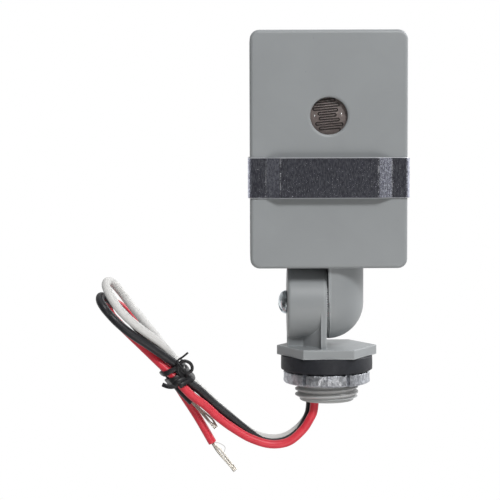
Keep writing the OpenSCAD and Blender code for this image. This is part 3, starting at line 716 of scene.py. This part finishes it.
# points, steps and section of the loose loop in front, the end that crosses it, and the tail on the left
KNOT = (
    ([(-47.6, -4.2, 4.2), (-48.5, -5.3, 5.7), (-49.0, -5.7, 7.5), (-48.4, -5.9, 9.2), (-46.9, -6.0, 9.9),
      (-45.2, -5.9, 9.3), (-44.4, -5.6, 8.0), (-44.6, -5.2, 6.6), (-45.9, -5.2, 5.9), (-47.4, -5.6, 6.2),
      (-48.0, -6.2, 7.6)], 7, ring(0.42, 0.55, 10)),
    ([(-46.6, -4.0, 4.2), (-46.2, -5.4, 5.5), (-47.0, -6.4, 6.9), (-48.2, -6.6, 8.2), (-49.2, -6.2, 9.4),
      (-48.9, -5.7, 10.2), (-47.4, -5.6, 11.2), (-45.7, -5.8, 12.6)], 7, ring(0.33, 0.5, 10)),
    ([(-49.2, -4.4, 1.9), (-50.6, -4.5, 1.2), (-52.4, -4.4, 1.2), (-54.2, -3.9, 1.8)],
     6, ring(0.5, 0.72, 12)),
)


def bundle_outline(s, gap):
    """Taut outline round the leads where a plane crosses them, s along the bundle: points (across, back)."""
    pts = []
    for path in LEAD_PATHS.values():
        for a, b in zip(path, path[1:]):
            da, db = (a - TIE_AT).dot(TIE_ALONG) - s, (b - TIE_AT).dot(TIE_ALONG) - s
            if da * db <= 0 and da != db:
                q = a + (b - a) * (da / (da - db)) - TIE_AT
                if abs(q.dot(TIE_ACROSS)) < 9 and q.length < 14:
                    r = LEAD_D / 2 + gap
                    pts += [(q.dot(TIE_ACROSS) + x, q.dot(TIE_BACK) + y) for x, y in ring(r, r, 24)]
    pts.sort()

    def half(seq):
        out = []
        for p in seq:
            while len(out) > 1 and ((out[-1][0] - out[-2][0]) * (p[1] - out[-2][1])
                                    - (out[-1][1] - out[-2][1]) * (p[0] - out[-2][0])) <= 0:
                out.pop()
            out.append(p)
        return out[:-1]

    return half(pts) + half(pts[::-1])


def on_outline(hull, a):
    """Where a ray at angle a from the middle meets the outline, and the outline's normal there."""
    cx = sum(p[0] for p in hull) / len(hull)
    cy = sum(p[1] for p in hull) / len(hull)
    dx, dy = cos(a), sin(a)
    for p, q in zip(hull, hull[1:] + hull[:1]):
        ex, ey = q[0] - p[0], q[1] - p[1]
        den = dx * ey - dy * ex
        if abs(den) < 1e-9:
            continue
        t = ((p[0] - cx) * ey - (p[1] - cy) * ex) / den
        u = ((p[0] - cx) * dy - (p[1] - cy) * dx) / den
        if t > 0 and -1e-6 <= u <= 1 + 1e-6:
            n = Vector((ey, -ex)).normalized()
            return (cx + t * dx, cy + t * dy), n if n.x * dx + n.y * dy > 0 else -n
    return (cx, cy), Vector((dx, dy))


def strap_section(half_t, half_w, n=14):
    """Flat wire with full, rounded edges."""
    out = []
    for x, y in ring(1, 1, n):
        out.append((half_t * copysign(abs(x) ** 0.6, x), half_w * copysign(abs(y) ** 0.6, y)))
    return out


def make_tie():
    path, outs = [], []
    for i in range(int(TIE_TURNS * TIE_STEPS) + 1):
        w = i / TIE_STEPS
        past = w - TIE_HOP
        a = 2 * pi * w - radians(100)
        s = -2.35 + 1.36 * min(w, TIE_HOP) + 0.35 * max(0.0, past) + 2.3 * ease(past / 0.5)
        s -= 1.25 * cos(a) + 0.12 * sin(5.0 * w + 0.6)
        (x, y), n = on_outline(bundle_outline(s, 0.46), a)
        path.append(TIE_AT + x * TIE_ACROSS + y * TIE_BACK + s * TIE_ALONG)
        outs.append(n.x * TIE_ACROSS + n.y * TIE_BACK)
    wraps = sweep(path, strap_section(0.42, 0.82), normals=outs)
    form = joined([wraps] + [sweep(curve_through(line, steps), section) for line, steps, section in KNOT])
    return piece("twist_tie_wraps", form, "base", "tie_plastic", ["twist_tie"], sharp=50)


def make_cords():
    """The three leads, then the tie round them."""
    made = {c: make_lead(c) for c in ("white", "black", "red")}
    tie = make_tie()


make_cords()


# Head: the moulded box with its elbow, and the cover let into its back

RIM_R = 7.2
# width, height, corner and thickness
COVER = (48.0, 73.8, 2.0, 2.2)
COVER_AT = (0, 12.8, 78.9)


def round_rim(bm):
    """Rounds the two edges of the eye's broken rim."""
    rim = []
    for e in bm.edges:
        ends = [(v.co.x / MM, v.co.y / MM, v.co.z / MM - EYE_Z) for v in e.verts]
        r = [hypot(p[0], p[2]) for p in ends]
        level = abs(ends[0][1] - ends[1][1]) < 0.01 and abs(r[0] - r[1]) < 0.02
        if level and r[0] < RIM_R and FRONT_Y - 0.05 < ends[0][1] < FRONT_Y + 0.7:
            rim.append(e)
    round_edges(bm, rim, 0.42, 5)


def make_head():
    me = cad_mesh("housing")
    edit(me, round_rim)
    even_normals(dress("housing_moulding", me, "head", "grey_plastic", ["housing"], sharp=30))
    lip = soften(tool("lip", elbow_lip()), 0.08, 2, angle=60)
    even_normals(dress("elbow_rim_lip", baked(lip), "head", "grey_plastic", sharp=30))
    cover = soften(tool("cover", rounded_plate(*COVER)), 0.25)
    cover.data.transform(Matrix.Translation([c * MM for c in COVER_AT]))
    even_normals(dress("rear_cover_plate", baked(cover), "head", "grey_plastic", ["rear_cover"], sharp=30))


def elbow_lip():
    """A U round the elbow's edge, which closes on the teeth of the plate."""
    big, small, top = KNUCKLE_R + 0.04, KNUCKLE_R - 0.7, AXIS_Z + 12.1
    outer = [(big, top)] + arc((0, AXIS_Z), big, 0, -180, 60) + [(-big, top)]
    inner = [(-small, top)] + arc((0, AXIS_Z), small, 180, 360, 60) + [(small, top)]
    n, m = len(outer), 2 * len(outer)
    verts = [(x, y, z) for x in (0.05, 1.2) for y, z in outer + inner]
    sides = [(o + k, o + k + 1, o + m - 2 - k, o + m - 1 - k) for o in (0, m) for k in range(n - 1)]
    return verts, skin(2, m) + sides


def rounded_plate(w, h, r, t):
    """Plate in the XZ plane, t thick along +Y, with rounded corners."""
    out = []
    for cx, cz, a in ((1, 1, 0), (-1, 1, 90), (-1, -1, 180), (1, -1, 270)):
        out += arc((cx * (w / 2 - r), cz * (h / 2 - r)), r, a, a + 90, 8)
    verts, faces = prism(out, 0, t)
    return [(x, y, z) for x, z, y in verts], faces


make_head()


# Eye: clear window, and the cell with its folded track

RUN_GAP = 0.79
TRACK_W = 0.50
TRACK_TURN = radians(5)
# ends of the runs of the track, from the top one down
TRACK_RIGHT = (2.4, 3.67, 3.0, 2.39, 3.3, 4.28, 3.3)
TRACK_LEFT = (-2.6, -4.08, -4.75, -3.28, -3.1, -4.32, -3.28)
DOTS = ((3.97, 0.70), (-4.5, 0.15))
DOT_R, DOT_H = 0.34, 0.16


def disc(name, node, mat, back, front):
    """A CAD round with its back edge broken by back, and its front edge by (inwards, backwards) steps."""
    lo, hi = box_mm(node)
    r = (hi.x - lo.x) / 2
    prof = [(0, -hi.y), (r - back, -hi.y), (r, -hi.y + back)]
    prof += [(r - a, -lo.y - b) for a, b in front] + [(0, -lo.y)]
    piece(name, lathe(prof, 64, "-Y", (0, 0, EYE_Z)), "head", mat, [node])
    return lo.y


def make_eye():
    disc("eye_window_disc", "eye_window", "window", 0.15, [(0, 0.15), (0.15, 0)])
    front = [(0, 0.3), (0.1, 0.1), (0.3, 0)]
    make_track(disc("photocell_disc", "photocell_wafer", "cell_ceramic", 0.2, front))


def make_track(face_y):
    """Dark folded line between the two comb electrodes, with a solder dot on each side."""
    bend = RUN_GAP / 2
    line, z = [], 4.14 + 2.5 * RUN_GAP
    for ends in zip(TRACK_LEFT, TRACK_RIGHT):
        for x in ends:
            side = 1 if x > 0 else -1
            for i in range(9):
                a = pi / 2 - pi * i / 8
                line.append((x - side * bend + side * bend * cos(a), z - bend + bend * sin(a)))
            z -= RUN_GAP
    c, s = cos(TRACK_TURN), sin(TRACK_TURN)
    turned = [(x * c - z * s, x * s + z * c) for x, z in line]
    # only what lies on the disc
    path = finer([Vector((x, face_y, EYE_Z + z)) for x, z in turned if hypot(x, z) < 6.1], 0.4)
    form = sweep(path, ring(0.08, TRACK_W / 2, 10), normals=[Vector((0, -1, 0))] * len(path))
    piece("photocell_folded_track", form, "head", "cell_track", ["photocell_track"])
    dome = [(DOT_R * x, DOT_H * y) for x, y in arc((0, 0), 1, 0, 75, 5)]
    dot = [(0, -0.05), (DOT_R, -0.05)] + dome + [(0, DOT_H)]
    form = joined([lathe(dot, 20, "-Y", (x, face_y, EYE_Z + z)) for x, z in DOTS])
    piece("photocell_solder_dots", form, "head", "silver")


def finer(points, gap):
    """The same line with points about gap apart."""
    out = [points[0]]
    for a, b in zip(points, points[1:]):
        n = max(1, int((b - a).length / gap))
        out += [a + (b - a) * (i / n) for i in range(1, n + 1)]
    return out


make_eye()


# Shade: one strip of plated sheet, bent over the front and hooked into the sides

def rounded_path(points, radii, n=6):
    """Open polyline with its corners turned into arcs."""
    out = [Vector(points[0])]
    for a, b, c, r in zip(points, points[1:], points[2:], radii):
        a, b, c = Vector(a), Vector(b), Vector(c)
        u, w = (a - b).normalized(), (c - b).normalized()
        half = u.angle(w) / 2
        cut = min(r / tan(half), 0.45 * (a - b).length, 0.45 * (c - b).length)
        rr = cut * tan(half)
        mid = b + (u + w).normalized() * (rr / sin(half))
        p, q = b + u * cut - mid, b + w * cut - mid
        turn = p.angle_signed(q)
        for i in range(n + 1):
            d = p.copy()
            d.rotate(Matrix.Rotation(-turn * i / n, 2))
            out.append(mid + d)
    return out + [Vector(points[-1])]


SHADE_SIDE = 25.3
SHADE_HOOK = (24.0, 4.95)
SHADE_BENDS = [0.4, 1.3, 0.9, 0.9, 9, 0.9, 0.9, 1.3, 0.4]
SHADE_EDGE = 0.18


def make_shade():
    """The strip as seen from above, drawn up to its height. Its upper and lower edges are bare metal."""
    lo, hi = box_mm("light_shade")
    t, e, z0, h = SHADE_T, SHADE_EDGE, lo.z, hi.z - lo.z
    inner = FRONT_Y - 0.1
    raised = inner - SHADE_RAISE
    half = [(0, raised), (SHADE_FLAT_HALF, raised), (SHADE_FOOT_HALF, inner), (SHADE_SIDE, inner),
            (SHADE_SIDE, SHADE_HOOK[1]), SHADE_HOOK]
    full = [(-x, y) for x, y in half[:0:-1]] + half
    # points on the long flats too, for the slight waviness of the strip
    fine = finer(rounded_path(full, SHADE_BENDS), 1.5)
    zs = [e + (h - 2 * e) * i / 8 for i in range(9)]
    loop = [(e, 0), (t - e, 0)] + [(t, z) for z in zs] + [(t - e, h), (e, h)] + [(0, z) for z in zs[::-1]]
    verts, n, m = [], len(fine), len(loop)
    for i, p in enumerate(fine):
        d = (fine[min(i + 1, n - 1)] - fine[max(i - 1, 0)]).normalized()
        out = Vector((d.y, -d.x))
        for off, z in loop:
            wave = 0.035 * noise.noise((p.x * 0.14, p.y * 0.14, z * 0.12)) if abs(p.x) < 24 else 0.0
            q = p + out * (off + wave)
            verts.append((q.x, q.y, z0 + z))
    form = verts, skin(n, m) + caps(n, m)
    ob = piece("light_shade_strip", form, "shade", ["zinc_sheet", "cut_edge"], ["light_shade"], sharp=30)
    for f in ob.data.polygons:
        zc = [ob.data.vertices[i].co.z / MM - z0 for i in f.vertices]
        if max(zc) <= e + 1e-4 or min(zc) >= h - e - 1e-4:
            f.material_index = 1


make_shade()


# Base: drum, plate, pedestal, hex flange and threaded stem in one moulding

HOLLOW_R = 9.4
HOLE_R = 2.35
NECK_R = 10.2
# where the thread's lead-in starts, and a crest on the left of the stem
LEAD_IN_R, LEAD_IN_Z = 8.9, STEM_END_Z + 0.8
CREST_Z = -2.08
FOOT_Z = SEAT_Z + HEX_T - 1.0
# half outlines of the pedestal and of the way for the leads through it
FOOT_HALF = [(-DRUM_LEN, -3.6), (-7.9, -3.6), (-PLATE_T, -9.6), (-1.9, -9.6)]
WAY_HALF = [(-7.2, -2.2), (-2, -7.2)]


def thread(z0, z1, top):
    """Closed stem with a right-hand helical thread between z0 and z1, plain up to top; solid inside."""
    n, rows = 120, 92
    flank = THREAD_DEPTH * tan(radians(30))
    verts = []
    levels = [z0 + (z1 - z0) * i / rows for i in range(rows + 1)] + [top]
    for z in levels:
        lead_in = LEAD_IN_R + (CREST_R - LEAD_IN_R) * ease((z - LEAD_IN_Z) / 0.5)
        end_round = 0.25 * max(0.0, 1 - (z - z0) / 0.25) ** 2
        for k in range(n):
            a = 2 * pi * k / n
            c = CREST_Z + PITCH * (a - pi) / (2 * pi)
            d = abs((z - c + PITCH / 2) % PITCH - PITCH / 2)
            r = CREST_R - THREAD_DEPTH * clamp((d - CREST_FLAT / 2) / flank)
            r = NECK_R if z == top else min(r, lead_in) - end_round
            verts.append((r * cos(a), r * sin(a), z))
    return verts, skin(len(levels), n) + caps(len(levels), n)


def face_teeth(r_in, r_out, depth):
    """Ring of radial teeth about the swivel axis, tips towards +X."""
    n = 2 * TEETH
    verts = []
    for i in range(n):
        a = 2 * pi * i / n
        x = -TIP_GAP if i % 2 == 0 else -VALLEY_X
        for xx, r in ((x, r_out), (x, r_in), (-depth, r_in), (-depth, r_out)):
            verts.append((xx, r * cos(a), AXIS_Z + r * sin(a)))
    return verts, skin(n, 4, closed=True)


def rod(r, low, high, n):
    """Cylinder along the swivel axis."""
    return lathe([(0, low), (r, low), (r, high), (0, high)], n, "X", (0, 0, AXIS_Z))


def add_teeth(bm):
    extra = mesh_mm("teeth", face_teeth(HOLLOW_R + 0.3, KNUCKLE_R - 0.1, VALLEY_X + 0.6))
    bm.from_mesh(extra)
    bmesh.ops.remove_doubles(bm, verts=bm.verts, dist=2e-7)
    bpy.data.meshes.remove(extra)


def make_base():
    """Solids joined to one, the hollows cut from it, and the teeth added."""
    edge, rim = 1.0, 0.12
    drum = [(0, -DRUM_LEN)]
    drum += [(KNUCKLE_R - edge + x, edge - DRUM_LEN + y) for x, y in arc((0, 0), edge, -90, 0, 8)]
    drum += [(KNUCKLE_R, -VALLEY_X - rim), (KNUCKLE_R - rim, -VALLEY_X), (0, -VALLEY_X)]
    drum = tool("drum", lathe(drum, 120, "X", (0, 0, AXIS_Z)))
    plate = mirrored([(-PLATE_T, -KNUCKLE_R), (-VALLEY_X, -KNUCKLE_R)])
    plate = soften(tool("plate", prism(plate, FOOT_Z, AXIS_Z)), 0.15)
    foot = soften(tool("foot", prism(mirrored(FOOT_HALF), FOOT_Z, AXIS_Z - 5.0)), 0.25, angle=25)
    corner = HEX_ACROSS_FLATS / sqrt(3)
    hexagon = soften(tool("hex", prism(ring(corner, corner, 6), SEAT_Z, SEAT_Z + HEX_T)), 0.22)
    stem = tool("stem", thread(STEM_END_Z, NUT_Z + 0.2, SEAT_Z + 0.8))
    hollow = tool("hollow", rod(HOLLOW_R, 2.5 - DRUM_LEN, 2, 96))
    flare = 0.6
    bore = [(0, STEM_END_Z - 1.5), (BORE_R + flare, STEM_END_Z - 1.5), (BORE_R + flare, STEM_END_Z),
            (BORE_R, STEM_END_Z + flare), (BORE_R, SEAT_Z + 1.2), (0, SEAT_Z + 1.2)]
    bore = tool("bore", lathe(bore, 96))
    way = tool("way", prism(mirrored(WAY_HALF), SEAT_Z, AXIS_Z - 4.0))
    hole = tool("hole", rod(HOLE_R, -15, -9.5, 40))
    me = carve(hexagon, [("UNION", other) for other in (drum, plate, foot, stem)]
               + [("DIFFERENCE", other) for other in (hollow, bore, way, hole)])
    edit(me, add_teeth)
    even_normals(dress("swivel_base_moulding", me, "base", "base_plastic", ["swivel_base"],
                       sharp=28))


make_base()


# Swivel screw, gasket and locknut

SCREW_LEN, SCREW_R = 20.0, 2.05
SCREW_HEAD_R = 3.875
SCREW_SEAT_X = -DRUM_LEN - 0.05
DRIVER_HALF, DRIVER_TURN = 0.6, 52
NUT_SLOTS, NUT_SLOT_DEPTH, NUT_SLOT_HALF = 6, 1.7, 0.70
BITES = 24
# height and fineness of the nut's uneven skin, in three layers
NUT_LUMPS = ((0.16, 0.45), (0.08, 1.3), (0.03, 4.0))


def make_screw():
    """Zinc-plated pan head with a driver slot, on the left of the drum."""
    side, dome = 0.7, 2.1
    prof = [(0, -SCREW_LEN), (SCREW_R - 0.45, -SCREW_LEN), (SCREW_R, 0.5 - SCREW_LEN), (SCREW_R, 0)]
    prof += [(SCREW_HEAD_R - 0.275, 0), (SCREW_HEAD_R, 0.2), (SCREW_HEAD_R, side)]
    prof += [((SCREW_HEAD_R - 0.1) * x, side + dome * y) for x, y in arc((0, 0), 1, 8, 88, 10)]
    head = tool("screw", lathe(prof + [(0, side + dome)], 72, "-X", (SCREW_SEAT_X, 0, AXIS_Z)))
    slot = mirrored([(-17, -6), (SCREW_SEAT_X - 1.5, -6)])
    slot = soften(tool("slot", prism(slot, -DRIVER_HALF, DRIVER_HALF)), 0.1)
    turn = Matrix.Rotation(radians(DRIVER_TURN), 4, "X")
    slot.data.transform(Matrix.Translation((0, 0, AXIS_Z * MM)) @ turn)
    me = carve(head, [("DIFFERENCE", slot)])
    dress("swivel_screw_head", me, "head", "zinc_steel", ["swivel_screw"], sharp=35)


def make_gasket():
    """Rubber ring: crowned side, soft lower edge that the nut has marked."""
    prof = [(RING_BORE_R, SEAT_Z), (RING_BORE_R, GASKET_Z), (13.9, GASKET_Z), (14.75, GASKET_Z + 0.42)]
    prof += arc((14.82, 6.78), 0.32, -60, 0, 4)
    prof += [(15.14, 8.2), (15.12, 9.4), (15.06, 10.9)] + arc((14.8, 10.9), 0.26, 15, 90, 4)
    verts, n, m = [], 144, len(prof)
    for k in range(n):
        a = 2 * pi * k / n
        c, d = cos(a), sin(a)
        mark = 0.16 * (0.5 + 0.5 * cos(BITES * a)) * (0.6 + 0.8 * noise.noise((3 * c, 3 * d, 1)))
        for i, (r, z) in enumerate(prof):
            if 2 < i < m - 1:
                r -= mark * max(0.0, 1 - (z - GASKET_Z) / 1.6)
                r += 0.05 * noise.noise((4 * c, 4 * d, z * 0.4))
            verts.append((r * c, r * d, z))
    piece("gasket_ring", (verts, skin(n, m, closed=True)), "gasket", "rubber", ["gasket"], sharp=40)


def off_nearest(a, count, shift):
    """Degrees from a to the nearest of count even marks round the ring."""
    return min(abs((a - 360 / count * i - shift + 180) % 360 - 180) for i in range(count))


def make_locknut():
    """Cast nut: six wrench slots, a toothed bite into the gasket, soft edges and an uneven skin."""
    r, t, floor = NUT_R, NUT_T, NUT_T - NUT_BITE
    prof = [(RING_BORE_R, 0), (11.6, 0), (12.4, 0), (13.2, 0), (13.6, 0.03), (13.9, 0.16), (14.12, 0.38)]
    prof += [(r, 0.75 + 2.7 * i / 8) for i in range(9)]
    prof += [(14.2, 3.72), (14.02, 3.92), (13.75, t), (13.2, t), (12.8, t), (12.5, 3.86), (12.2, 3.55)]
    prof += [(11.9, 3.25), (11.4, floor), (RING_BORE_R, floor)]
    verts, n, m = [], 900, len(prof)
    for k in range(n):
        a = 360 * k / n
        off = radians(off_nearest(a, NUT_SLOTS, -3.3)) * r
        cut = NUT_SLOT_DEPTH * clamp((NUT_SLOT_HALF - off) / 0.14)
        c, d = cos(radians(a)), sin(radians(a))
        uneven = noise.noise((4.0 * c, 4.0 * d, 2.5))
        off = radians(off_nearest(a, BITES, 5 + 4 * uneven)) * 13.2
        vee = max(0.0, (0.42 + 0.55 * uneven) - off * 0.6)
        for pr, pz in prof:
            pr = min(pr, max(r - cut, RING_BORE_R))
            pz = min(pz, max(t - vee, floor)) if pz > floor else pz
            q = Vector((pr * c, pr * d, NUT_Z + pz))
            if pr > 11:
                lump = sum(high * noise.noise(q * fine) for high, fine in NUT_LUMPS)
                q += lump * Vector((c, d, 0.3 * (1 if pz > t / 2 else -1)))
            verts.append(q)
    piece("locknut_casting", (verts, skin(n, m, closed=True)), "locknut", "zinc_cast", ["locknut"], sharp=55)


make_screw()
make_gasket()
make_locknut()


# Pieces inside, which keep their CAD form

INSIDE = {
    "tinned_copper": ["photocell_leads"],
    "black_plastic": ["cell_retainer"],
    "phenolic": ["board"],
    "zinc_steel": ["board_screws", "swivel_nut"],
    "bimetal": ["bimetal_arm"],
    "silver": ["moving_contact", "fixed_contact"],
    "resistor_ceramic": ["heater_resistor"],
    **{colour + "_insulation": ["inner_lead_" + colour] for colour in ROUTES},
    "brass": ["bimetal_post", "fixed_bracket", "setting_screw", "line_terminal", "load_terminal",
              "neutral_terminal"],
}


def finish_inside():
    for mat, names in INSIDE.items():
        for name in names:
            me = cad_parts[name].data
            for i in range(len(me.materials)):
                me.materials[i] = M[mat]


finish_inside()


# Stage: pale floor, soft lamps from above and the right, white surroundings

FLOOR_Z = -0.24
FLOOR_HALF = 6
# brightness of the room in front of the object, where white is 1
DARK_ROOM = 0.066


def make_floor():
    """White floor. Close by it takes the shadow; further out it is the white background."""
    me = bpy.data.meshes.new("floor")
    corners = ((-1, -1), (1, -1), (1, 1), (-1, 1))
    me.from_pydata([(FLOOR_HALF * x, FLOOR_HALF * y, FLOOR_Z) for x, y in corners], [], [(0, 1, 2, 3)])
    added("floor", me)
    m = bpy.data.materials.new("floor_white")
    t = Nodes(m)
    path = t.add("LightPath").outputs
    # pale to the camera, with a weaker bounce on the object
    near = t.add("BsdfDiffuse", {0: t.step(path["Is Camera Ray"], 0.0, 1.0, 0.42, 0.80)})
    co, axes = t.coordinates("Object")
    far = t.add("VectorMath", {0: co}, operation="LENGTH").outputs["Value"]
    mirror = t.math("MAXIMUM", path["Is Glossy Ray"], path["Is Transmission Ray"])
    direct = t.math("MAXIMUM", path["Is Camera Ray"], mirror)
    seen = t.math("MULTIPLY", direct, t.step(far, 0.25, 0.45))
    # behind the object the sweep is white, in front of it the room is dark
    room = t.step(axes[1], -0.25, 0.25, DARK_ROOM, 1.0)
    glow = t.add("Emission", {"Strength": t.math("MAXIMUM", path["Is Camera Ray"], room)})
    both = t.add("MixShader", {0: seen, 1: near.outputs[0], 2: glow.outputs[0]})
    t.add("OutputMaterial", {0: both.outputs[0]})
    me.materials.append(m)


def make_world():
    """White to the camera. Light and reflections see white behind, dark in front and a card on the right."""
    w = bpy.data.worlds.new("studio")
    scene.world = w
    t = Nodes(w)
    path = t.add("LightPath").outputs
    x, y, z = t.coordinates("Generated")[1]
    white = t.step(path["Is Glossy Ray"], 0.0, 1.0, 0.70, 1.0)
    behind = t.step(y, -0.25, 0.20, DARK_ROOM, white)
    behind = t.math("MULTIPLY", behind, t.step(x, -0.9, 0.0, 0.40, 1.0))
    card = t.math("MULTIPLY", t.step(x, 0.70, 0.88, 0.0, 0.60), t.step(z, 0.45, 0.15))
    above = t.step(z, 0.55, 0.9, 0.0, 0.7)
    left = t.step(x, -0.45, -0.85, DARK_ROOM, 0.16)
    bright = path["Is Camera Ray"]
    for part in (behind, card, above, left):
        bright = t.math("MAXIMUM", bright, part)
    back = t.add("Background", {"Color": (1, 1, 1), "Strength": bright})
    t.add("OutputWorld", {0: back.outputs[0]})


LAMP_AIM = Vector((0, 0, 0.06))
LAMPS = (
    # name, place in metres, watts, size, tint
    ("front", (0.19, -0.70, 0.62), 5.1, 0.20, (1, 1, 1)),
    ("right", (0.70, 0.25, 0.58), 6.6, 0.60, (1, 1, 1)),
    ("low", (0.06, -0.32, -0.14), 0.36, 0.20, (1, 0.97, 0.93)),
)


def make_lamps():
    """A lamp in front and a little above, one on the right for the tops, and a weak low one."""
    for name, at, power, size, tint in LAMPS:
        lamp = bpy.data.lights.new(name, "AREA")
        lamp.energy, lamp.size, lamp.color = power, size, tint
        ob = added(name, lamp)
        ob.location = at
        ob.rotation_euler = (LAMP_AIM - Vector(at)).to_track_quat("-Z", "Y").to_euler()


make_floor()
make_world()
make_lamps()
